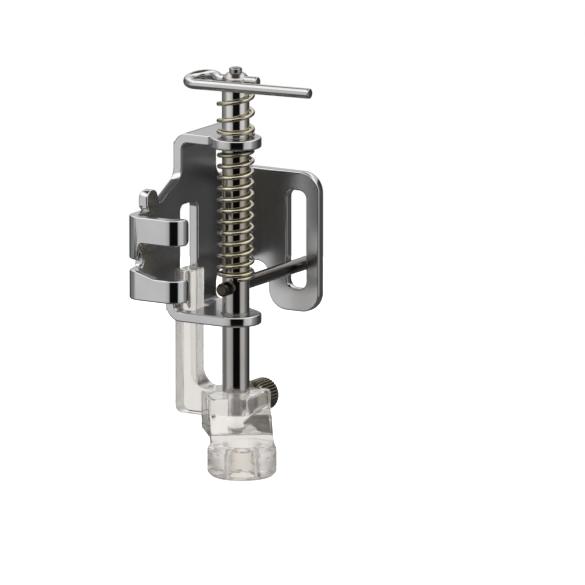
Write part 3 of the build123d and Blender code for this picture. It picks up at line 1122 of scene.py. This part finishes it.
@dataclass
class ThumbScrew(Maker):
    """The dark screw that clamps the foot, with a straight-knurled head and a threaded stem."""

    head_length: float = 4.2
    chamfer: float = 0.45
    knurls: int = 32
    knurl_depth: float = 0.3
    knurl_power: float = 0.8
    stem_radius: float = 1.5
    stem_short: float = 0.01
    thread_pitch: float = 0.5
    thread_depth: float = 0.16
    bright_spare: float = 1.0
    bright_fade: float = 0.1
    rows_in_head: int = 40
    rows_in_stem: int = 70
    columns: int = 384

    def finish(self, stem_start: float, head_start: float) -> MetalFinish:
        """Gives the dark nickel, with painted shade in the knurl's grooves and a bright thread.

        Args:
            stem_start: where the thread starts, in Y.
            head_start: where the head starts, in Y.

        Returns:
            The finish.
        """
        thread = Band(
            Axis.Y,
            low=stem_start - self.bright_spare,
            high=head_start,
            fade=self.bright_fade,
            colour=(0.62, 0.60, 0.56),
        )
        return MetalFinish(
            name="dark_nickel",
            clean=(0.36, 0.33, 0.25),
            dulled=(0.20, 0.18, 0.13),
            rough_low=0.18,
            rough_high=0.32,
            grain=Grain.ALONG_Y,
            grain_scale=6000.0,
            grain_depth=0.003,
            # Near-black painted shade in the knurl's grooves.
            layers=(PaintedGrooveShade((0.022, 0.02, 0.013)), thread),
        )

    def wave(self, angle: Array) -> Array:
        """Gives the knurl's shape round the axis: a rounded wave, 1 on a crest and 0 in a groove."""
        return np.abs(np.sin(self.knurls * angle / 2)) ** self.knurl_power

    def radii(self, along: Array, angle: Array, head_start: float, end: float) -> Array:
        """Works out the screw's radius at a place along its axis and an angle round it.

        On the stem the radius falls from the crest by the thread's depth as a triangle wave that climbs
        a pitch each turn. On the head it falls by the knurl's depth as a rounded wave round the axis, and
        near both ends of the head no radius is larger than the chamfer's cone.

        Args:
            along: places along the axis.
            angle: angles round the axis.
            head_start: where the head starts.
            end: where the head ends.

        Returns:
            The radius, places by angles.
        """
        place = along[:, None]
        peak = half_width("thumb_screw")
        phase = (place / self.thread_pitch + angle / TURN) % 1.0
        stem = self.stem_radius - self.thread_depth * np.abs(2 * phase - 1)
        head = peak - self.knurl_depth * (1 - self.wave(angle))
        cone = peak - self.chamfer + np.minimum(place - head_start, end - place)
        return np.where(place < head_start, stem, np.minimum(head, cone))

    def build(self) -> Piece:
        """Turns the radius about the screw's axis, which runs along Y, and closes both ends on it.

        Returns:
            The screw.
        """
        low, high = node_box("thumb_screw")
        head_start = high[1] - self.head_length
        stem = np.linspace(low[1], head_start - self.stem_short, self.rows_in_stem)
        head = np.linspace(head_start, high[1], self.rows_in_head)
        along = np.concatenate([stem, head])
        angle = np.linspace(0, TURN, self.columns, endpoint=False)
        radius = np.pad(self.radii(along, angle, head_start, high[1]), ((1, 1), (0, 0)))
        along = np.pad(along, 1, mode="edge")
        centre = middle("thumb_screw")
        grid = np.stack([
            centre[0] + radius * np.cos(angle),
            np.broadcast_to(along[:, None], radius.shape),
            centre[2] + radius * np.sin(angle),
        ], axis=2)
        in_head = (along >= head_start) & (radius.max(axis=1) > 0)
        piece = solid_piece("knurled_screw", grid, in_head[:, None] * (1 - self.wave(angle)))
        self.hand_over(piece, "thumb_screw", "dark_nickel", self.finish(low[1], head_start))
        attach(piece, Body.THUMB_SCREW.value)
        return piece


@dataclass(frozen=True)
class Tier:
    """A light that comes in between two heights of a look, from -1 straight down to 1 straight up."""

    level: float
    start: float
    end: float


@dataclass(frozen=True)
class Curtain:
    """A dark stretch of the tent's walls, and how much higher the light starts above it."""

    angle: float
    rise: float


@dataclass
class Tent:
    """A light tent: pale walls and ceiling, with a dark opening for the camera and two dark curtains.

    Angles are in degrees from the opening. The walls are pairs of an angle and the light there, and the
    first of the curtains is the opening itself.
    """

    opening: float = 31.0
    walls: tuple[tuple[float, float], ...] = (
        (-180, 0.14),
        (-150, 0.10),
        (-134, 0.11),
        (-116, 0.34),
        (-101, 0.26),
        (-89, 0.52),
        (-75, 0.86),
        (-62, 0.94),
        (-45, 0.78),
        (-29, 0.62),
        (-22, 0.006),
        (32, 0.006),
        (40, 0.80),
        (70, 0.95),
        (82, 0.45),
        (98, 0.28),
        (108, 0.16),
        (118, 0.08),
        (128, 0.05),
        (152, 0.10),
        (168, 0.15),
    )
    curtains: tuple[Curtain, ...] = (Curtain(0, 0.6), Curtain(122, 0.6), Curtain(-108, 0.7))
    curtain_power: float = 6.0
    backdrop_drop: float = 0.5
    backdrop_power: float = 2.0
    ceiling: Tier = Tier(level=0.86, start=0.06, end=0.22)
    lamps: Tier = Tier(level=1.75, start=0.38, end=0.60)
    zenith: Tier = Tier(level=0.10, start=0.86, end=0.95)
    table: Tier = Tier(level=0.12, start=-0.28, end=-0.50)
    cards: int = 4
    card_level: float = 0.70
    card_swing: float = 0.30
    card_share: float = 0.80
    floor_radius: float = 160.0
    floor_below: float = 0.02
    floor_rings: int = 12
    floor_segments: int = 64
    floor_colour: Colour = (0.82, 0.82, 0.82)
    floor_glow: float = 0.72

    def wall_light(self, sheet: NodeSheet, angle: Socket) -> Socket:
        """Puts the walls' light on a ramp that goes once round from behind.

        Args:
            sheet: the world's nodes.
            angle: the angle of a look from the opening, in radians.

        Returns:
            The light's socket.
        """
        ramp = sheet.add("ShaderNodeValToRGB")
        sheet.join(sheet.value("MULTIPLY_ADD", angle, 1 / TURN, 0.5), ramp.inputs["Fac"])
        stops = ramp.color_ramp.elements
        while len(stops) < len(self.walls):
            stops.new(1.0)
        for stop, (degrees, level) in zip(stops, self.walls):
            stop.position = degrees / 360 + 0.5
            stop.color = (level, level, level, 1)
        return ramp.outputs["Color"]

    def over_curtains(self, sheet: NodeSheet, look: bpy.types.Node) -> Socket:
        """Lowers the height of a look over the curtains, so that the light starts higher there.

        It falls by each one's rise times a high power of how far the look points to it.

        Args:
            sheet: the world's nodes.
            look: the look's three parts, with X towards the opening.

        Returns:
            The height's socket.
        """
        height = look.outputs["Z"]
        for curtain in self.curtains:
            turn = math.radians(curtain.angle)
            across = sheet.value("MULTIPLY", look.outputs["Y"], math.sin(turn))
            towards = sheet.value("MULTIPLY_ADD", look.outputs["X"], math.cos(turn), across)
            pointed = sheet.value("POWER", sheet.value("MAXIMUM", towards, 0.0), self.curtain_power)
            height = sheet.value("MULTIPLY_ADD", pointed, -curtain.rise, height)
        return height

    def over_backdrop(self, sheet: NodeSheet, look: bpy.types.Node) -> Socket:
        """Raises the height of a look over the backdrop, so that the dark zenith starts lower there.

        It rises by a share of the square of how far the look points away from the opening.

        Args:
            sheet: the world's nodes.
            look: the look's three parts, with X towards the opening.

        Returns:
            The height's socket.
        """
        away = sheet.value("MINIMUM", look.outputs["X"], 0.0)
        behind = sheet.value("POWER", away, self.backdrop_power)
        return sheet.value("MULTIPLY_ADD", behind, self.backdrop_drop, look.outputs["Z"])

    def build_world(self) -> None:
        """Lights the scene from the tent: walls by the angle of a look, and the rest by its height.

        Light that comes through clear plastic finds pale cards round the object, as a cosine of the
        angle, with grey between them. The camera sees white behind the object.
        """
        world = bpy.data.worlds.new("light_tent")
        bpy.context.scene.world = world
        world.use_nodes = True
        sheet = NodeSheet(world.node_tree)
        turn = sheet.add("ShaderNodeMapping", Rotation=(0, 0, math.radians(90 - self.opening)))
        sheet.join(sheet.add("ShaderNodeTexCoord").outputs["Generated"], turn.inputs["Vector"])
        look = sheet.add("ShaderNodeSeparateXYZ")
        sheet.join(turn.outputs["Vector"], look.inputs[0])
        angle = sheet.value("ARCTAN2", look.outputs["Y"], look.outputs["X"])
        light = self.wall_light(sheet, angle)
        over_curtains = self.over_curtains(sheet, look)
        for tier, height in (
            (self.ceiling, over_curtains),
            (self.lamps, over_curtains),
            (self.zenith, self.over_backdrop(sheet, look)),
            (self.table, look.outputs["Z"]),
        ):
            smooth = {"interpolation_type": "SMOOTHSTEP", "From_Min": tier.start, "From_Max": tier.end}
            light = sheet.covered(light, (tier.level,) * 3, sheet.mapped(height, **smooth))
        path = sheet.add("ShaderNodeLightPath")
        wave = sheet.value("COSINE", sheet.value("MULTIPLY", angle, float(self.cards)))
        cards = sheet.value("MULTIPLY_ADD", wave, self.card_swing, self.card_level)
        through = sheet.value("MULTIPLY", path.outputs["Is Transmission Ray"], self.card_share)
        light = sheet.covered(light, cards, through)
        seen = sheet.covered(light, WHITE, path.outputs["Is Camera Ray"])
        sheet.join(seen, world.node_tree.nodes["Background"].inputs["Color"])

    def build_floor(self) -> None:
        """Lays a pale round floor under the sole, which glows white for the camera and keeps the shadow."""
        rings = np.linspace(0, self.floor_radius, self.floor_rings)
        profile = np.stack([rings, np.full(len(rings), -self.floor_below)], axis=1)
        floor = solid_piece("studio_floor", revolved(profile, self.floor_segments))
        material, sheet, shader = new_material("studio_floor")
        shader.inputs["Base Color"].default_value = (*self.floor_colour, 1)
        shader.inputs["Roughness"].default_value = 1.0
        shader.inputs["Specular IOR Level"].default_value = 0.0
        shader.inputs["Emission Color"].default_value = (*WHITE, 1)
        camera_only = sheet.add("ShaderNodeLightPath").outputs["Is Camera Ray"]
        glow = sheet.value("MULTIPLY", camera_only, self.floor_glow)
        sheet.join(glow, shader.inputs["Emission Strength"])
        floor.data.materials.append(material)
        floor.visible_glossy = False
        floor.visible_transmission = False


@dataclass
class PhotoCamera:
    """The camera at the photograph's angle and framing, far off with a long lens."""

    azimuth: float = 31.0
    elevation: float = 11.54
    px_per_mm: float = 6.88
    rod_foot_px: tuple[float, float] = (236.0, 455.6)
    distance: float = 2000.0
    sees_to: float = 100000.0
    sensor: float = 36.0

    def build(self) -> None:
        """Points the camera so that the rod's foot, on the sole's level, falls on its pixel."""
        a, e = math.radians(self.azimuth), math.radians(self.elevation)
        back = Vector((math.sin(a) * math.cos(e), -math.cos(a) * math.cos(e), math.sin(e)))
        right = Vector((math.cos(a), math.sin(a), 0))
        up = back.cross(right)
        across = (IMAGE_PX / 2 - self.rod_foot_px[0]) / self.px_per_mm
        above = (self.rod_foot_px[1] - IMAGE_PX / 2) / self.px_per_mm
        target = Vector(rod_foot()) + across * right + above * up
        data = bpy.data.cameras.new("photo_camera")
        data.sensor_width = self.sensor
        data.lens = self.sensor * self.distance * self.px_per_mm / IMAGE_PX
        data.clip_end = self.sees_to * MM
        camera = bpy.data.objects.new("photo_camera", data)
        camera.location = (target + self.distance * back) * MM
        camera.rotation_mode = "QUATERNION"
        camera.rotation_quaternion = (-back).to_track_quat("-Z", "Y")
        bpy.context.scene.collection.objects.link(camera)
        bpy.context.scene.camera = camera


def main() -> None:
    logging.basicConfig(level=logging.INFO, format="%(name)s: %(message)s")
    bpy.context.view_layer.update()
    bpy.context.scene.view_settings.view_transform = "Standard"
    patterns = Patterns.build()
    plunger = Plunger(patterns)
    lever = Lever(patterns)
    long_coil = CoilSpring(
        patterns,
        node="lower_spring",
        name="long_coil",
        wire=0.6,
        end_angle=-180.0,
        closed_bottom=1.25,
        coils=10.8,
        closed_top=0.6,
        follows_plunger=True,
    )
    short_coil = CoilSpring(
        patterns,
        node="upper_spring",
        name="short_coil",
        wire=0.65,
        end_angle=180.0,
        closed_bottom=1.0,
        coils=2.45,
        closed_top=0.0,
        follows_plunger=False,
    )
    for build in (
        Bracket(patterns).build,
        plunger.build_rod,
        plunger.build_pin,
        lever.build_wire,
        lever.build_screw,
        long_coil.build,
        short_coil.build,
        ClearFoot(patterns).build,
        ThumbScrew(patterns).build,
    ):
        piece = build()
        log.info("%s has %d faces before its modifiers", piece.name, len(piece.data.polygons))
    tent = Tent()
    tent.build_world()
    tent.build_floor()
    PhotoCamera().build()


if __name__ == "__main__":
    main()
